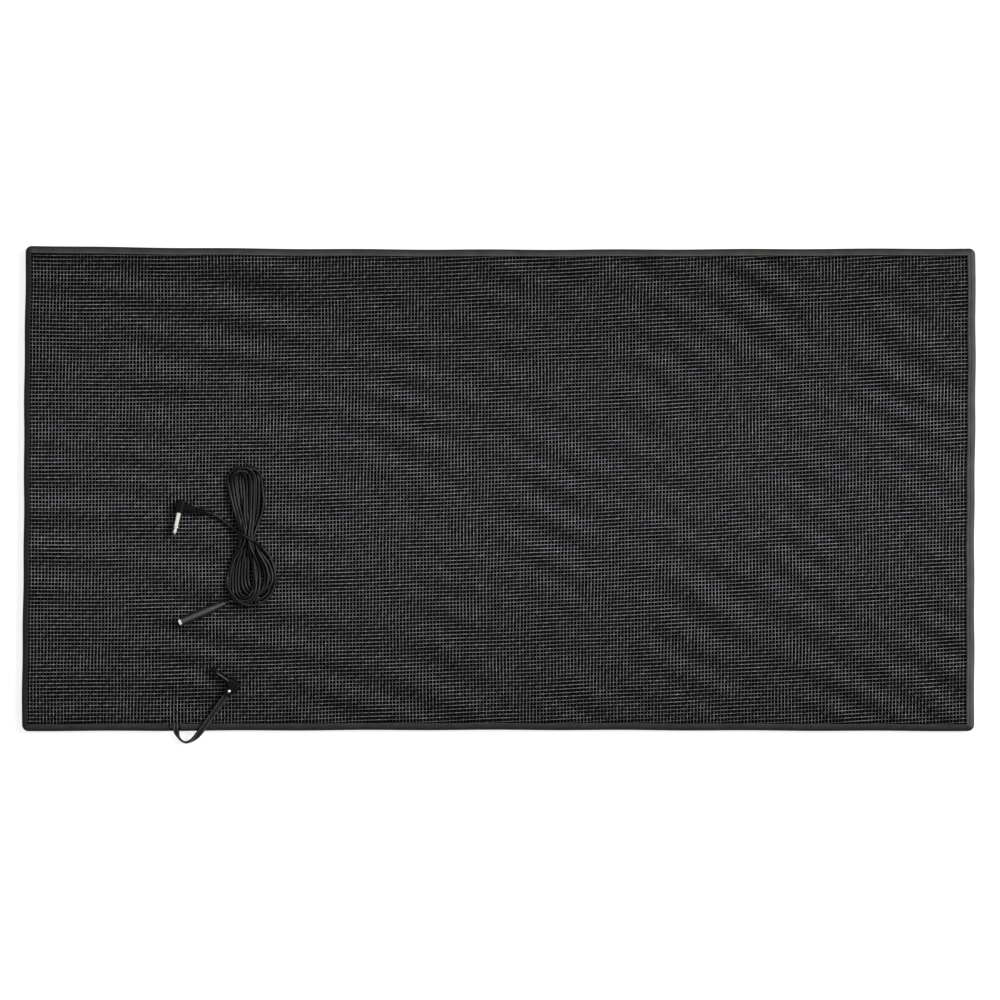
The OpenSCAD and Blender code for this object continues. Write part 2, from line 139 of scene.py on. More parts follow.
def mottle(material, dark, light, size_mm, rough=None, bump_mm=0.0, stretch=(1, 1, 1), detail=3.0):
    """Lets a noise of a given size wander between two colours, two roughnesses and a small relief."""
    shader = material.node_tree.nodes["Principled BSDF"]
    links = material.node_tree.links
    place = add_node(material, "ShaderNodeTexCoord")
    lay = add_node(material, "ShaderNodeMapping", {"Vector": place.outputs["Object"], "Scale": stretch})
    noise = add_node(material, "ShaderNodeTexNoise", {
        "Vector": lay.outputs["Vector"], "Scale": 1 / (size_mm * MM), "Detail": detail})
    spread = {"Value": noise.outputs["Fac"], "From Min": 0.3, "From Max": 0.7}
    level = add_node(material, "ShaderNodeMapRange", spread)
    tone = add_node(material, "ShaderNodeMix", {
        0: level.outputs["Result"], 6: linear(dark), 7: linear(light)}, data_type="RGBA")
    links.new(tone.outputs[2], shader.inputs["Base Color"])
    if rough:
        gloss = add_node(material, "ShaderNodeMapRange", {**spread, "To Min": rough[0], "To Max": rough[1]})
        links.new(gloss.outputs["Result"], shader.inputs["Roughness"])
    if bump_mm:
        relief = add_node(material, "ShaderNodeBump", {
            "Height": noise.outputs["Fac"], "Distance": bump_mm * MM, "Strength": 1.0})
        links.new(relief.outputs["Normal"], shader.inputs["Normal"])


def painted_crest_highlight(material, colour, start, full):
    """Paints a highlight where a surface faces up, paler from a start to a full upward share."""
    shader = material.node_tree.nodes["Principled BSDF"]
    place = add_node(material, "ShaderNodeTexCoord")
    facing = add_node(material, "ShaderNodeSeparateXYZ", {0: place.outputs["Normal"]})
    # The painted highlight's share, by how far the surface faces up
    film = add_node(material, "ShaderNodeMapRange", {
        "Value": facing.outputs["Z"], "From Min": start, "From Max": full})
    plain = shader.inputs["Base Color"].links[0].from_socket
    tone = add_node(material, "ShaderNodeMix", {
        0: film.outputs["Result"], 6: plain, 7: linear(colour)}, data_type="RGBA")
    material.node_tree.links.new(tone.outputs[2], shader.inputs["Base Color"])


def smooth_route(points, step):
    """The points of a smooth curve through the given ones, a step apart."""
    points = np.asarray(points, float)
    ends = np.vstack([2 * points[0] - points[1], points, 2 * points[-1] - points[-2]])
    fine = []
    for a, b, c, d in zip(ends[:-3], ends[1:-2], ends[2:-1], ends[3:]):
        for t in np.linspace(0, 1, SPAN_POINTS, endpoint=False):
            fine.append(0.5 * (2 * b + (c - a) * t + (2 * a - 5 * b + 4 * c - d) * t ** 2
                               + (3 * b - a - 3 * c + d) * t ** 3))
    fine = np.vstack([fine, points[-1]])
    run = np.concatenate([[0], np.cumsum(np.linalg.norm(np.diff(fine, axis=0), axis=1))])
    at = np.linspace(0, run[-1], int(round(run[-1] / step)) + 1)
    return np.column_stack([np.interp(at, run, fine[:, i]) for i in range(fine.shape[1])])


def bend(end, toward, left, right, start, stop, z):
    """A round end between two lanes of the hank, from one angle to another, in mm on the mat."""
    r = (right - left) / 2
    mid = (left + right) / 2
    return [(end[0] + mid + r * math.cos(a), end[1] + toward * r + r * math.sin(a), z)
            for a in np.radians(np.linspace(start, stop, ARC_POINTS))]


def settle(points, pinned, diameter, floor):
    """Lets the turns sink on to each other: they fall, keep their length and push apart where they meet."""
    home = points.copy()
    rest = np.linalg.norm(np.diff(points, axis=0), axis=1)
    order = np.arange(len(points))
    for turn in range(ROUNDS):
        if turn % LOOK_AGAIN == 0:
            gaps = np.linalg.norm(points[:, None] - points[None], axis=2)
            first, second = np.nonzero((gaps < NEAR * diameter) & (order[None] - order[:, None] > SKIP))
        points[:, 2] -= SINK
        points[:, :2] += PULL_HOME * (home[:, :2] - points[:, :2])
        for _ in range(PASSES):
            ends = points[:-4] + points[4:]
            points[2:-2] -= STIFF * (ends - 4 * (points[1:-3] + points[3:-1]) + 6 * points[2:-2])
            step = np.diff(points, axis=0)
            span = np.linalg.norm(step, axis=1)
            pull = step * ((span - rest) / span * GIVE)[:, None]
            points[:-1] += pull
            points[1:] -= pull
            apart = points[first] - points[second]
            gap = np.maximum(np.linalg.norm(apart, axis=1), 1e-6)
            push = apart * (np.clip(diameter - gap, 0, None) / gap * GIVE)[:, None]
            np.add.at(points, first, push)
            np.add.at(points, second, -push)
            points[:, 2] = np.maximum(points[:, 2], floor)
            points[pinned] = home[pinned]
    return points


def draw_line(curve, points):
    """A spline of a curve, straight from each of the given points to the next."""
    spline = curve.splines.new("POLY")
    spline.points.add(len(points) - 1)
    spline.points.foreach_set("co", np.column_stack([points, np.ones(len(points))]).ravel())
    return spline


def set_down(name, data, finish, slot, *nodes):
    """Puts a finished piece on the mat, with its material, in place of the CAD nodes that it stands for; its
    slot is not used.
    """
    data.materials.append(finish)
    piece = bpy.data.objects.new(name, data)
    scene.collection.objects.link(piece)
    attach(piece, "root")
    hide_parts(*nodes)
    return piece


floor_z = REST_Z / MM
route = list(SOCKET_ROUTE)
for turn, (left, right, rise) in enumerate(LOWER_LANES):
    turn_z = floor_z + TURN_RISE * turn
    low_bend = bend((LOWER_END[0], LOWER_END[1] + rise), 1, left, right, *LOWER_ARC, turn_z)
    route += low_bend if turn else low_bend[JOINED_AT:]
    if turn == len(UPPER_LANES):
        break
    layer_z = floor_z + LAYER_RISE * (turn // 2)
    hip_z = (turn_z + layer_z) / 2
    up_left, up_right, dip = UPPER_LANES[turn]
    bow = LOOSE_BOW if turn == LOOSE_TURN else 0
    route += [(LOWER_END[0] + HIP_SPREAD * right, HIP_Y, hip_z),
              (WAIST[0] + WAIST_LANES[turn % 2], WAIST[1], layer_z),
              (UPPER_END[0] + NECK_RIGHT * up_right + NECK_SHIFT + bow, NECK_Y, layer_z),
              *bend((UPPER_END[0], UPPER_END[1] - dip), -1, up_left, up_right, *UPPER_ARC, turn_z),
              (UPPER_END[0] + NECK_LEFT * up_left + NECK_SHIFT, NECK_Y, layer_z),
              (WAIST[0] - WAIST_LANES[1 - turn % 2], WAIST[1], layer_z),
              (LOWER_END[0] + HIP_SPREAD * LOWER_LANES[turn + 1][0], HIP_Y, hip_z)]
route += PLUG_ROUTE
lead_line = smooth_route(route, LAY_STEP)
# The lead's first and last points stay where they enter the socket and the plug
held = np.r_[0:3, len(lead_line) - 4:len(lead_line)]
lead_line = settle(lead_line, held, LEAD_D / MM, floor_z)
for _ in range(SMOOTHINGS):
    lead_line[3:-4] += SMOOTH_SHARE * (lead_line[2:-5] + lead_line[4:-3] - 2 * lead_line[3:-4])
lead_line = smooth_route(lead_line, DRAW_STEP) * MM
lead_curve = bpy.data.curves.new("extension_lead", "CURVE")
lead_curve.dimensions = "3D"
lead_curve.bevel_depth = LEAD_D / 2
lead_curve.bevel_resolution = 3
draw_line(lead_curve, lead_line).use_smooth = True
# PVC jacket: extruded and limp, satin black, with a painted highlight along the top of each strand
jacket = new_material("black_pvc_jacket", Roughness=0.25, IOR=1.53, Specular_IOR_Level=0.1)
mottle(jacket, "#050506", "#0b0b0c", 3.0, rough=(0.2, 0.3), bump_mm=0.02)
painted_crest_highlight(jacket, "#343435", 0.88, 0.99)
extension_lead = set_down("extension_lead", lead_curve, jacket, "lead_jacket",
                          "lead_hank", "lead_plug_run", "lead_socket_run")

# Plugs and socket on the leads
# Black moulded bodies over nickel-plated contacts. The angled plugs have a plain collar and a ribbed boot,
# the straight socket has a bright barrel in its mouth, and a rivet holds the tail lead in its plug's boot.

# Moulded PVC: dull black. Its grain is finer than a pixel, so it is drawn at 0.8 mm to show.
moulding = new_material("moulded_black_pvc", Roughness=0.3, IOR=1.53, Specular_IOR_Level=0.07)
mottle(moulding, "#060607", "#0f0f10", 0.8, rough=(0.25, 0.4), bump_mm=0.03)
# The socket's PVC: a softer satin, with a painted grey highlight along its top
socket_pvc = new_material("moulded_satin_pvc", Roughness=0.35, IOR=1.53, Specular_IOR_Level=0.2)
mottle(socket_pvc, "#0a0a0b", "#141415", 0.9, rough=(0.3, 0.42), bump_mm=0.03)
painted_crest_highlight(socket_pvc, "#505051", 0.87, 0.99)
# Nickel plate: grey, with a painted bright reflection along the top of the pin and the barrel
bright_nickel = new_material("bright_nickel_plate", Metallic=1.0)
mottle(bright_nickel, "#8b8985", "#a3a19b", 1.2, rough=(0.12, 0.24))
painted_crest_highlight(bright_nickel, "#dedcd8", 0.66, 0.9)
# The rivet's nickel: dull grey, with a painted bright glint on its dome
rivet_nickel = new_material("nickel_rivet_painted_glint", Metallic=1.0)
mottle(rivet_nickel, "#4b4a47", "#5e5d59", 1.2, rough=(0.2, 0.3))
painted_crest_highlight(rivet_nickel, "#f4f3f0", 0.86, 0.98)
# Black nickel: nearly black, with one thin painted highlight along the top of the pin
black_nickel = new_material("black_nickel_plate", Metallic=1.0)
mottle(black_nickel, "#101010", "#191918", 1.2, rough=(0.16, 0.24))
painted_crest_highlight(black_nickel, "#62625f", 0.972, 0.998)
# Acetal rings between sleeve and tip: turned and smooth, one left its natural white and one black
white_ring = new_material("natural_acetal", IOR=1.48)
mottle(white_ring, "#d8d6ce", "#e6e4dc", 0.6, rough=(0.3, 0.4))
black_ring = new_material("black_acetal", IOR=1.48, Specular_IOR_Level=0.2)
mottle(black_ring, "#0c0c0d", "#161617", 0.6, rough=(0.3, 0.4))
# Phosphor bronze leaf: warm and half bright, with fine streaks from the rolls
leaf_bronze = new_material("rolled_phosphor_bronze", Metallic=1.0)
mottle(leaf_bronze, "#a9823f", "#c79c55", 0.9, rough=(0.25, 0.4), stretch=(1, 6, 1))
CONTACT_FINISHES = {
    "tail_plug_body": moulding, "lead_plug_body": moulding, "lead_socket_body": socket_pvc,
    "lead_plug_sleeve": bright_nickel, "lead_plug_tip": bright_nickel, "lead_socket_barrel": bright_nickel,
    "tail_plug_sleeve": black_nickel, "tail_plug_tip": black_nickel, "tail_rivet": rivet_nickel,
    "lead_plug_insulator": white_ring, "tail_plug_insulator": black_ring, "lead_socket_spring": leaf_bronze,
}


def coat(finishes):
    """Gives CAD nodes their finishes."""
    for node, material in finishes.items():
        slots = bpy.data.objects[node].data.materials
        slots.clear()
        slots.append(material)


coat(CONTACT_FINISHES)

# Tail lead
# A flat twin lead, two jacketed cores side by side with a groove between them. It leaves the mat through
# the notch, turns on edge in a loop outside the binding and comes back flat over it to its plug.
NOTCH = Vector((-207, -155, 0))
TAIL_W = 4.0
TAIL_T = 1.4
TAIL_STEP = 0.7
CORE_ARC = 140
CORE_POINTS = 12
HIGHLIGHT_W = 0.4 * MM
HIGHLIGHT_TONE = 22
# Places in mm from the notch, and the lead's turn about its own line in degrees
TAIL_ROUTE = [
    (0, 36, 2.75, 0), (0, 28, 2.75, 0), (0, 20, 2.75, 0), (0, 12, 2.75, 0), (0, 7, 2.75, 0),
    (0, 3.5, 2.9, 0), (0, 0.6, 3.05, 8), (0.5, -1.6, 3.15, 42), (1.5, -3.9, 2.95, 76), (3.4, -6, 2.5, 87),
    (6, -7.1, 2.3, 87), (9, -6.3, 2.8, 75), (11.8, -4.4, 4.2, 48), (14.2, -1.9, 6.3, 16), (16.5, 0.9, 7.2, 4),
    (19.5, 5.1, 7.6, 0), (23, 10.1, 8, 0), (26.5, 15, 8.4, 0), (29.92, 19.77, 8.6, 0), (32.24, 23.02, 8.6, 0)]


def tone_by(material, attribute):
    """Multiplies a material's colour by a value that its mesh carries."""
    shader = material.node_tree.nodes["Principled BSDF"]
    plain = shader.inputs["Base Color"].links[0].from_socket
    level = add_node(material, "ShaderNodeAttribute", attribute_name=attribute)
    toned = add_node(material, "ShaderNodeVectorMath", {
        0: plain, "Scale": level.outputs["Fac"]}, operation="SCALE")
    material.node_tree.links.new(toned.outputs[0], shader.inputs["Base Color"])


def carry(mesh, attribute, values):
    """Lets a mesh carry a value at each of its points."""
    mesh.attributes.new(attribute, "FLOAT", "POINT").data.foreach_set("value", values)


def as_mesh(name, made):
    """The mesh of a curve's or a modifier's object, which is then removed."""
    scene.collection.objects.link(made)
    mesh = bpy.data.meshes.new_from_object(made.evaluated_get(bpy.context.evaluated_depsgraph_get()))
    mesh.name = name
    bpy.data.objects.remove(made)
    return mesh


tail_points = smooth_route(TAIL_ROUTE, TAIL_STEP)
tail_line = (tail_points[:, :3] + np.array(NOTCH)) * MM
core_r = TAIL_T / 2
core_mid = TAIL_W / 2 - core_r
core = [(core_mid + core_r * math.cos(a), core_r * math.sin(a))
        for a in np.radians(np.linspace(-CORE_ARC, CORE_ARC, CORE_POINTS))]
outline = np.array(core + [(-x, -y) for x, y in core]) * MM
twin = bpy.data.curves.new("twin_section", "CURVE")
draw_line(twin, np.column_stack([outline, np.zeros(len(outline))])).use_cyclic_u = True
twin_object = bpy.data.objects.new("twin_section", twin)
scene.collection.objects.link(twin_object)
tail_curve = bpy.data.curves.new("tail_curve", "CURVE")
tail_curve.dimensions = "3D"
tail_curve.twist_mode = "Z_UP"
tail_curve.bevel_mode = "OBJECT"
tail_curve.bevel_object = twin_object
tail_curve.use_fill_caps = True
draw_line(tail_curve, tail_line).points.foreach_set("tilt", np.radians(tail_points[:, 3]))
tail_mesh = as_mesh("tail_lead_twin", bpy.data.objects.new("tail_curve", tail_curve))
bpy.data.objects.remove(twin_object)
# The same PVC as the extension lead's jacket, with a painted highlight along the ridge of each core
twin_jacket = new_material("pvc_jacket_painted_highlight", Roughness=0.25, IOR=1.53, Specular_IOR_Level=0.1)
mottle(twin_jacket, "#060607", "#0b0b0c", 3.0, rough=(0.2, 0.3), bump_mm=0.02)
tone_by(twin_jacket, "painted_crest_highlight")
# Each core's painted highlight: paler along its ridge
in_ring = np.arange(len(tail_mesh.vertices)) % len(outline)
from_crest = np.abs(outline[in_ring, 0]) - (TAIL_W - TAIL_T) / 2 * MM
carry(tail_mesh, "painted_crest_highlight", 1 + HIGHLIGHT_TONE * np.exp(-(from_crest / HIGHLIGHT_W) ** 2))
tail_twin = set_down("tail_lead_twin", tail_mesh, twin_jacket, "lead_jacket", "tail_lead")

# Base sheet, foils, foam, seal and the lead's ends
# A PVC sheet on the floor side, then two foils with perforated foam between them, a sealing strip round
# them, and the tail lead's cores soldered to a tag on each foil. All but the sheet are closed in.

# Calendered PVC: matt black with a shallow leathery grain
base_pvc = new_material("calendered_black_pvc", Roughness=0.6, IOR=1.53)
mottle(base_pvc, "#171718", "#232325", 2.2, rough=(0.5, 0.7), bump_mm=0.15)
# Aluminium foil: grey mirror, with streaks from the rolls
foil = new_material("rolled_aluminium_foil", Metallic=1.0, Roughness=0.35)
mottle(foil, "#b4b7ba", "#cdd0d3", 6.0, rough=(0.28, 0.45), stretch=(0.2, 4, 1), bump_mm=0.02)
# Foam: dull grey, its open cells drawn at 1 mm
foam = new_material("open_cell_foam", Roughness=0.95)
mottle(foam, "#54575a", "#7a7d80", 1.0, rough=(0.9, 1.0), bump_mm=0.4, detail=5.0)
# Butyl: soft, dull and slightly lumpy
seal = new_material("butyl_strip", Roughness=0.7)
mottle(seal, "#1d1e20", "#2b2c2e", 3.0, rough=(0.6, 0.8), bump_mm=0.1)
# Tinned copper: a soft pale shine. The cores' PVC is smooth, one red and one black.
tin = new_material("tinned_copper", Metallic=1.0, Roughness=0.3)
mottle(tin, "#bdb9ad", "#d6d2c8", 1.0, rough=(0.22, 0.4))
red_core = new_material("red_core_insulation", Roughness=0.4)
mottle(red_core, "#8e221b", "#a62d24", 1.0, rough=(0.35, 0.5))
black_core = new_material("black_core_insulation", Roughness=0.4)
mottle(black_core, "#151516", "#202021", 1.0, rough=(0.35, 0.5))
coat({
    "base_sheet": base_pvc, "lower_electrode": foil, "upper_electrode": foil, "foam_spacer": foam,
    "edge_seal": seal, "lower_tag": tin, "upper_tag": tin, "lower_core": red_core, "upper_core": black_core,
})

# Film under the mesh
# A thin matt black film that closes the mat, laid under the mesh and held by the binding.
# It is seen only through the holes of the mesh, so it stays dark and has almost no gloss.
film = new_material("matt_black_film", Specular_IOR_Level=0.02)
mottle(film, "#020203", "#050506", 8.0, rough=(0.85, 0.95))
coat({"top_sheet": film})

# Mesh
# A plain weave of PVC-coated polyester yarn, set apart so that it leaves square holes, and fused in an oven.
# The threads run a little wavy, and painted light and shade change their colour in long sweeps over the
# cloth.
WARP_PITCH = 2.15 * MM
WEFT_PITCH = 2.40 * MM
YARN_W = 0.33 * MM
YARN_H = 0.32 * MM
YARN_Z = 4.84 * MM
YARN_RISE = 0.15 * MM
MESH_L = 605 * MM
MESH_W = 305 * MM
NOTCH_END = 154.5 * MM
FRONT_BAND = 0.01
OVER_LEAD = (-209.5 * MM, -203.1 * MM)
# How the cloth is drawn aside in mm: its shear, its sides pulled in, one corner pushed out, and waves with
# their height, lengths along and across the mat in metres, and start
MAT_HALF = (0.305, 0.155)
SHEAR = 0.9
PULLED_IN, WAISTED = 0.45, 0.35
CORNER_OUT, CORNER_FALL = 1.9, 3.2
LONG_WAVE = (0.2, 0.41, 0.19, 1)
SHORT_WAVE = (0.14, -0.12, 0.047, 0)
RIM_WAVE = (0.15, 0.082, 0.15, 2)
SKEW = (14.5 * MM, 4.7 * MM, -1.5 * MM)
# The painted light's folds, and waves by their length in mm, direction in degrees and start
FOLD_PITCH = 25 * MM
FOLD_LEAN = 10
FOLD_DRIFT = 7 * MM
DRIFT_WAVES = [(210, 25, 0.4), (140, 110, 2.2), (95, 70, 4.4)]
FADE_WAVES = [(170, 60, 1.1), (120, 140, 3.6), (80, 10, 5.5)]
PATCH_WAVES = [(61, 12, 0.3), (47, 97, 1.7), (38, 61, 4.1), (33, 151, 2.6), (27, 84, 5.2), (24, 31, 0.9),
               (21, 118, 3.3)]
FOLD_MEAN, FOLD_CHANGE = 0.5, 0.6
# Steps of a sine from thread to thread and from crossing to crossing, so large that it looks random
THREAD_BEAT = 2.4
GRAIN_BEAT = (127.1, 311.7)
# What each adds to the tone and painted light, how much paler the weft is than the warp, by patches, and the
# painted light on the warp and shade on the weft over the lead
PLAIN_TONE, BOW_TONE, FOLD_TONE, THREAD_TONE, GRAIN_TONE = 0.7, 0.36, 0.34, 0.1, 0.45
WEFT_TONE, PATCH_TONE, LEAD_TONE = 0.25, 0.6, 0.5
LEAST_TONE, MOST_TONE = 0.1, 2.2
# Where the lead lies under the cloth, in mm to its sides and in metres from the mat's middle, and where the
# binding's lip casts painted shade on the cloth
LEAD_SPREAD = 3.4
LEAD_REACH = -0.122
LIP_Y = 150.4 * MM
LIP_FADE = 2 * MM
LIP_SHADE = 0.65


def wave(x, y, height, along, across, start):
    """One long wave over the mat."""
    return height * np.sin(2 * np.pi * (y / across + x / along) + start)


def wander(x, y):
    """How far the cloth and its binding are drawn aside at a place on the mat, in metres."""
    u, v = x / MAT_HALF[0], y / MAT_HALF[1]
    corner = np.exp(-CORNER_FALL * (u + 1)) * ((1 + v) / 2) ** 2
    drawn_in = PULLED_IN * v + WAISTED * v * np.cos(np.pi * u)
    dx = SHEAR * v + wave(x, y, *LONG_WAVE) + wave(x, y, *SHORT_WAVE)
    dy = CORNER_OUT * corner - drawn_in + wave(x, y, *RIM_WAVE)
    return dx * MM, dy * MM


def skew(x):
    """How far the weft has been drawn up at a place along the mat, in metres."""
    u = x / (MESH_L / 2)
    return sum(share * u ** (power + 1) for power, share in enumerate(SKEW))


def ripple(x, y, waves):
    """A sum of waves at a place on the mat, from about -1 to 1."""
    total = 0
    for length, toward, begin in waves:
        a = math.radians(toward)
        total = total + np.sin(2 * np.pi * (x * math.cos(a) + y * math.sin(a)) / (length * MM) + begin)
    return total / math.sqrt(2 * len(waves))


def painted_sheen_and_tone(x, y, number, step, weft):
    """How light the coat is beside its mean: folds of painted light, patches led by one direction, uneven
    threads, and painted light and shade by the lead and the lip.
    """
    drift = FOLD_LEAN * skew(x) + FOLD_DRIFT * ripple(x, y, DRIFT_WAVES)
    fold = np.sin(2 * np.pi * (y + drift) / FOLD_PITCH) * (FOLD_MEAN + FOLD_CHANGE * ripple(x, y, FADE_WAVES))
    patch = ripple(x, y, PATCH_WAVES)
    on_lead = np.exp(-((x / MM - NOTCH.x) / LEAD_SPREAD) ** 2) * (y < LEAD_REACH)
    at_lip = np.clip((np.abs(y) - LIP_Y) / LIP_FADE + 1, 0, 1) * (1 - on_lead)
    grain = np.sin(GRAIN_BEAT[0] * number + GRAIN_BEAT[1] * step)
    light = PLAIN_TONE + BOW_TONE * np.cos(np.pi * y / MESH_W) + FOLD_TONE * fold
    light = light + THREAD_TONE * np.sin(THREAD_BEAT * number) + GRAIN_TONE * grain
    light = light + (WEFT_TONE + PATCH_TONE * patch - LEAD_TONE * on_lead) * (1 if weft else -1)
    return np.clip(light, LEAST_TONE, MOST_TONE) * (1 - LIP_SHADE * at_lip)


def strip(name, section, steps):
    """A mesh of a closed section drawn out along X in whole steps, with both ends closed."""
    bm = bmesh.new()
    ring = [bm.verts.new((0, u, z)) for u, z in section]
    edges = [bm.edges.new((a, b)) for a, b in zip(ring, ring[1:] + ring[:1])]
    bm.faces.new(ring)
    for _ in range(steps):
        made = bmesh.ops.extrude_edge_only(bm, edges=edges)["geom"]
        new = {g for g in made if isinstance(g, bmesh.types.BMVert)}
        edges = [g for g in made if isinstance(g, bmesh.types.BMEdge) and new.issuperset(g.verts)]
        bmesh.ops.translate(bm, verts=list(new), vec=(1, 0, 0))
    bmesh.ops.contextual_create(bm, geom=edges)
    bmesh.ops.recalc_face_normals(bm, faces=bm.faces)
    for face in bm.faces:
        face.smooth = True
    mesh = bpy.data.meshes.new(name)
    bm.to_mesh(mesh)
    bm.free()
    return mesh


def get_places(mesh):
    """The places of a mesh's points as columns of x, y and z."""
    rows = np.empty(len(mesh.vertices) * 3)
    mesh.vertices.foreach_get("co", rows)
    return rows.reshape(-1, 3).T


def set_places(mesh, x, y, z):
    """Puts a mesh's points where the cloth's own waviness takes them."""
    dx, dy = wander(x, y)
    mesh.vertices.foreach_set("co", np.column_stack([x + dx, y + dy, z]).ravel())
    mesh.update()


def cut_off(bm, out, far, verts):
    """Cuts off what lies beyond a plane, among the given points and what joins them, and closes the ends."""
    inside = set(verts)
    joined = [g for g in bm.edges[:] + bm.faces[:] if inside.issuperset(g.verts)]
    cut = bmesh.ops.bisect_plane(bm, geom=verts + joined, dist=1e-7, plane_co=Vector(out) * far, plane_no=out,
                                 clear_outer=True)
    bmesh.ops.holes_fill(bm, edges=[g for g in cut["geom_cut"] if isinstance(g, bmesh.types.BMEdge)])


def trim(mesh, weft):
    """Cuts the threads off along the cloth's sides, but at the notch the warp runs on to the mat's edge."""
    bm = bmesh.new()
    bm.from_mesh(mesh)
    cut_off(bm, (1, 0, 0), MESH_L / 2, bm.verts[:])
    cut_off(bm, (-1, 0, 0), MESH_L / 2, bm.verts[:])
    cut_off(bm, (0, 1, 0), MESH_W / 2, bm.verts[:])
    cut_off(bm, (0, -1, 0), MESH_W / 2 if weft else NOTCH_END, bm.verts[:])
    if not weft:
        near = [v for v in bm.verts if v.co.y < -MESH_W / 2 + FRONT_BAND]
        cut_off(bm, (0, -1, 0), MESH_W / 2, [v for v in near if not OVER_LEAD[0] < v.co.x < OVER_LEAD[1]])
    bm.to_mesh(mesh)
    bm.free()


def lay_yarns(name, node, weft, half):
    """Half the threads of one direction, each over and under the crossing ones by turns."""
    warps = int(MESH_L // WARP_PITCH)
    wefts = int((MESH_W + skew(MESH_L / 2) - skew(-MESH_L / 2)) // WEFT_PITCH)
    pitch, threads, crossings = (WEFT_PITCH, wefts, warps) if weft else (WARP_PITCH, warps, wefts)
    first = half * (threads // 2)
    diamond = [(-YARN_W / 2, YARN_H / 2), (0, 0), (YARN_W / 2, YARN_H / 2), (0, YARN_H)]
    thread = bpy.data.objects.new(name + "_one", strip(name + "_one", diamond, crossings + 1))
    rows = thread.modifiers.new("rows", "ARRAY")
    rows.use_relative_offset = False
    rows.use_constant_offset = True
    rows.constant_offset_displace = (0, pitch, 0)
    rows.count = threads - threads // 2 if half else threads // 2
    cloth = as_mesh(name, thread)
    step, side, height = get_places(cloth)
    number = np.rint(side / pitch) + first
    aside = side + (first - number) * pitch
    warp, row = (step, number) if weft else (number, step)
    x = (warp - warps / 2) * WARP_PITCH
    y = (row - wefts / 2) * WEFT_PITCH + skew(x) - (skew(MESH_L / 2) + skew(-MESH_L / 2)) / 2
    over = np.cos(np.pi * (step + number + weft))
    # Each point carries its tone, with painted light in folds and painted light and shade by the lead and the
    # lip
    carry(cloth, "painted_sheen_and_tone", painted_sheen_and_tone(x, y, number, step, weft))
    set_places(cloth, x + aside * (not weft), y + aside * weft, YARN_Z + height + YARN_RISE * over)
    trim(cloth, weft)
    set_down(name, cloth, yarn, "mesh", node)


# PVC-coated yarn: dark grey with a satin coat, lighter and darker by the painted light and shade that it
# carries
yarn = new_material("pvc_coated_yarn", Roughness=0.55, IOR=1.53, Specular_IOR_Level=0.2)
mottle(yarn, "#67686b", "#949598", 4.0, rough=(0.5, 0.65))
tone_by(yarn, "painted_sheen_and_tone")
for half, (warp_half, weft_half) in enumerate((("right", "front"), ("left", "back"))):
    lay_yarns("warp_yarns_" + warp_half, "mesh_warp", False, half)
    lay_yarns("weft_yarns_" + weft_half, "mesh_weft", True, half)

# Binding
# An extruded PVC strip folded over the edge into a U with a round nose, and welded along a pressed line. It
# follows the cloth's waviness, laps over it by more on the right than on the left, and is open at the notch.
BIND_L = 610
BIND_W = 310
BIND_R = 4
BIND_T = 6.1
NOSE = 2.2
FLANGE_T = 0.7
FLANGE = 2.4
LIP_EDGE = 0.2
STUB_IN, STUB_T = 0.12, 1.5
NOTCH_HALF = 4
STATION = 8
CORNER_STEP = 15
CORNER_GAP = 0.1
CREASE = math.radians(50)
# The weld line, in half flanges from the nose and mm below the top
WELD = [(0.5, 0), (0.65, 0.28), (1.0, 0.28), (1.15, 0)]
# For each side, by the way it faces: its lap over the cloth, its painted light, paler on the right and back
# and darker on the front and left, and its painted shade, darker to its outer edge and paler at its lip
LAP = {(0, -1): 0.88, (1, 0): 1.15, (0, 1): 0.96, (-1, 0): 0.6}
SIDE_PAINTED_LIGHT = {(0, -1): 0.53, (1, 0): 1.29, (0, 1): 0.93, (-1, 0): 0.36}
SIDE_PAINTED_FADE = {(0, -1): 1.6, (1, 0): 0.5, (0, 1): 1.6, (-1, 0): 1.5}
FADE_FROM = 0.6


def nose_arc(z, start, stop):
    """A quarter of the nose's round edge, as points in mm from the outer edge and from the floor."""
    return [(NOSE + NOSE * math.cos(a), z + NOSE * math.sin(a))
            for a in np.radians(np.linspace(start, stop, ARC_POINTS))]


def run_on(stations, x, y, facing):
    """Goes on from the last station to a place, in even steps of about a station's length."""
    from_x, from_y = stations[-1][:2]
    count = max(1, round(math.dist((from_x, from_y), (x, y)) / STATION))
    for i in range(1, count + 1):
        stations.append((from_x + (x - from_x) * i / count, from_y + (y - from_y) * i / count, facing))


def by_side(out, shares):
    """Each point's share of the four sides' values, by the way it faces."""
    return sum(share * np.clip(out @ np.array(side), 0, 1) ** 2 for side, share in shares.items())


def bind(name, section, stations):
    """Lays a section round the rim's stations, laps it over the cloth by each side's own amount, and paints
    its light and shade.
    """
    mesh = strip(name, section, len(stations) - 1)
    step, deep, z = get_places(mesh)
    at = np.array(stations)[np.rint(step).astype(int)]
    out = np.column_stack([np.cos(np.radians(at[:, 2])), np.sin(np.radians(at[:, 2]))])
    deep = np.where(deep > NOSE, NOSE + (deep - NOSE) * by_side(out, LAP), deep)
    # Painted light by side, and painted shade towards the outer edge
    painted_fade = by_side(out, SIDE_PAINTED_FADE) * (deep / (NOSE + FLANGE) - FADE_FROM)
    carry(mesh, "tone", by_side(out, SIDE_PAINTED_LIGHT) * (1 + painted_fade))
    in_corner = (np.abs(out) > 0.01).all(axis=1)
    deep = np.where(in_corner, np.minimum(deep, BIND_R - CORNER_GAP), deep)
    set_places(mesh, (at[:, 0] - out[:, 0] * deep) * MM, (at[:, 1] - out[:, 1] * deep) * MM, z * MM)
    mesh.set_sharp_from_angle(angle=CREASE)
    set_down(name, mesh, binding, "binding", "edge_binding")


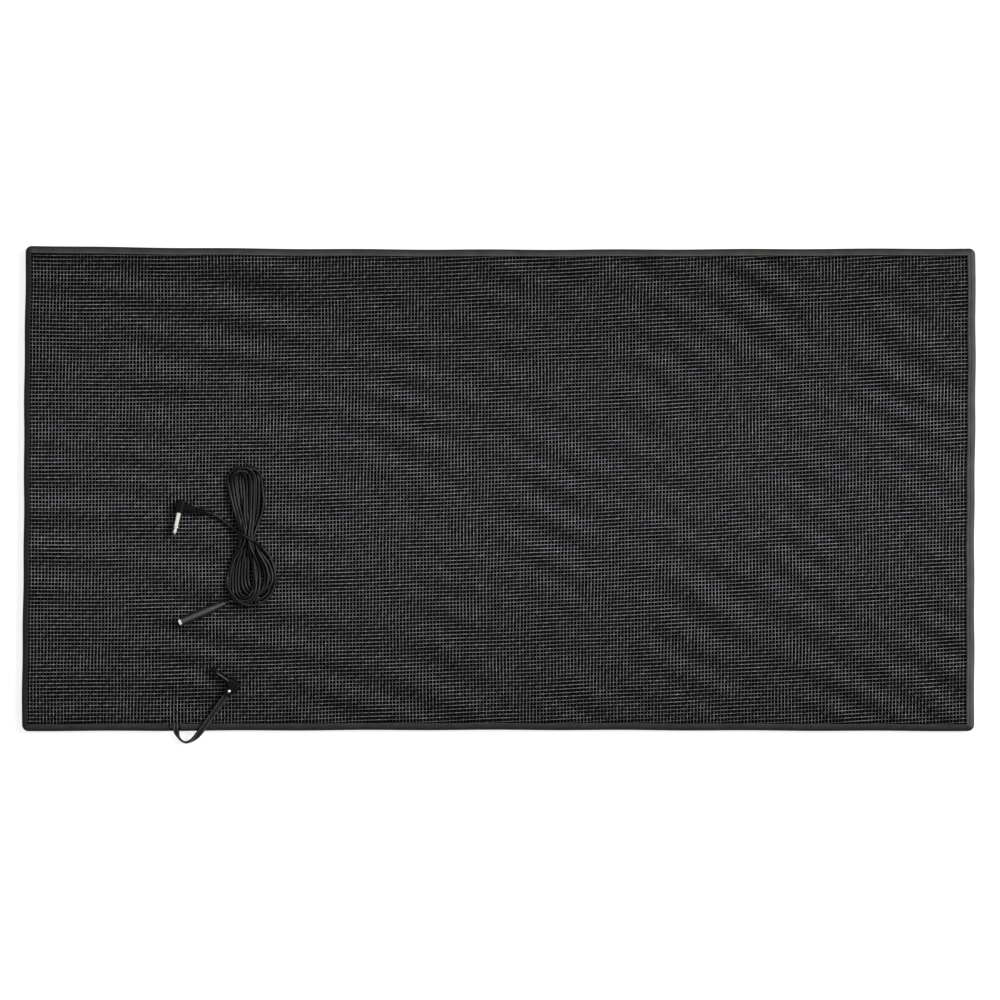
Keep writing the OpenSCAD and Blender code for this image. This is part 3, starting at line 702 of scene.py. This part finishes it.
lip = NOSE + FLANGE
upper_lip = [*((NOSE + FLANGE * 0.5 * u, BIND_T - deep) for u, deep in WELD),
             (lip - LIP_EDGE, BIND_T), (lip, BIND_T - LIP_EDGE), (lip, BIND_T - FLANGE_T)]
lower_lip = [(NOSE, FLANGE_T), (lip, FLANGE_T), (lip, 0)]
u_section = [*nose_arc(BIND_T - NOSE, 180, 90), *upper_lip, (NOSE, BIND_T - FLANGE_T), *lower_lip,
             *nose_arc(NOSE, 270, 180)]
stub_section = [(STUB_IN, STUB_T), (NOSE, STUB_T), *lower_lip, *nose_arc(NOSE, 270, 200)]
rim = [(NOTCH.x + NOTCH_HALF, -BIND_W / 2, -90)]
for side_x, side_y, angle in ((1, -1, -90), (1, 1, 0), (-1, 1, 90), (-1, -1, 180)):
    for facing in range(angle, angle + 91, CORNER_STEP):
        a = math.radians(facing)
        run_on(rim, side_x * (BIND_L / 2 - BIND_R) + BIND_R * math.cos(a),
               side_y * (BIND_W / 2 - BIND_R) + BIND_R * math.sin(a), facing)
run_on(rim, NOTCH.x - NOTCH_HALF, -BIND_W / 2, -90)
# PVC of the binding: warm dark grey with a satin skin, faintly cloudy, made lighter or darker by the painted
# light and shade that it carries
binding = new_material("extruded_pvc_binding", Roughness=0.45, IOR=1.53, Specular_IOR_Level=0.1)
mottle(binding, "#3f3e3d", "#4c4b49", 9.0, rough=(0.4, 0.55), bump_mm=0.05)
tone_by(binding, "tone")
bind("binding_strip", u_section, rim)
bind("binding_under_notch", stub_section, [rim[-1], rim[0]])

# Floor and light
# A white floor that stays white to the camera and keeps a soft shadow. The key light stands far off to the
# right and a little behind, so that it is even over the mat, and a weak light from all round fills the rest.
WHITE = (1, 1, 1, 1)
FLOOR_HALF = 6
FLOOR_GREY = (0.5, 0.5, 0.5, 1)
FLOOR_GLOW = 0.8
FILL = 0.3
KEY_PLACE = Vector((4.32, 1.58, 3.86))
KEY_SIZE = 2.2
KEY_WATTS = 360


def seen_directly(owner):
    """A material's or world's share of 1 for rays from the camera, off metal and through glass, else 0."""
    path = add_node(owner, "ShaderNodeLightPath")
    share = path.outputs["Is Camera Ray"]
    for ray in ("Is Glossy Ray", "Is Transmission Ray"):
        either = add_node(owner, "ShaderNodeMath", {0: share, 1: path.outputs[ray]}, operation="MAXIMUM")
        share = either.outputs[0]
    return share


floor_bm = bmesh.new()
bmesh.ops.create_grid(floor_bm, x_segments=1, y_segments=1, size=FLOOR_HALF)
floor_mesh = bpy.data.meshes.new("floor")
floor_bm.to_mesh(floor_mesh)
floor_bm.free()
floor = bpy.data.objects.new("floor", floor_mesh)
scene.collection.objects.link(floor)
paper = bpy.data.materials.new("white_paper")
paper.use_nodes = True
paper.node_tree.nodes.clear()
strength = add_node(paper, "ShaderNodeMath", {0: seen_directly(paper), 1: FLOOR_GLOW}, operation="MULTIPLY")
glow = add_node(paper, "ShaderNodeEmission", {"Color": WHITE, "Strength": strength.outputs[0]})
matt = add_node(paper, "ShaderNodeBsdfDiffuse", {"Color": FLOOR_GREY})
both = add_node(paper, "ShaderNodeAddShader", {0: glow.outputs[0], 1: matt.outputs[0]})
add_node(paper, "ShaderNodeOutputMaterial", {"Surface": both.outputs[0]})
floor_mesh.materials.append(paper)

world = bpy.data.worlds.new("studio")
scene.world = world
world.use_nodes = True
world.node_tree.nodes.clear()
strength = add_node(world, "ShaderNodeMapRange", {
    "Value": seen_directly(world), "To Min": FILL, "To Max": 1.0})
sky = add_node(world, "ShaderNodeBackground", {"Color": WHITE, "Strength": strength.outputs["Result"]})
add_node(world, "ShaderNodeOutputWorld", {"Surface": sky.outputs[0]})

key = bpy.data.objects.new("key", bpy.data.lights.new("key", "AREA"))
key.data.size = KEY_SIZE
key.data.energy = KEY_WATTS
key.location = KEY_PLACE
key.rotation_euler = (-KEY_PLACE).to_track_quat("-Z", "Y").to_euler()
key.visible_camera = False
scene.collection.objects.link(key)
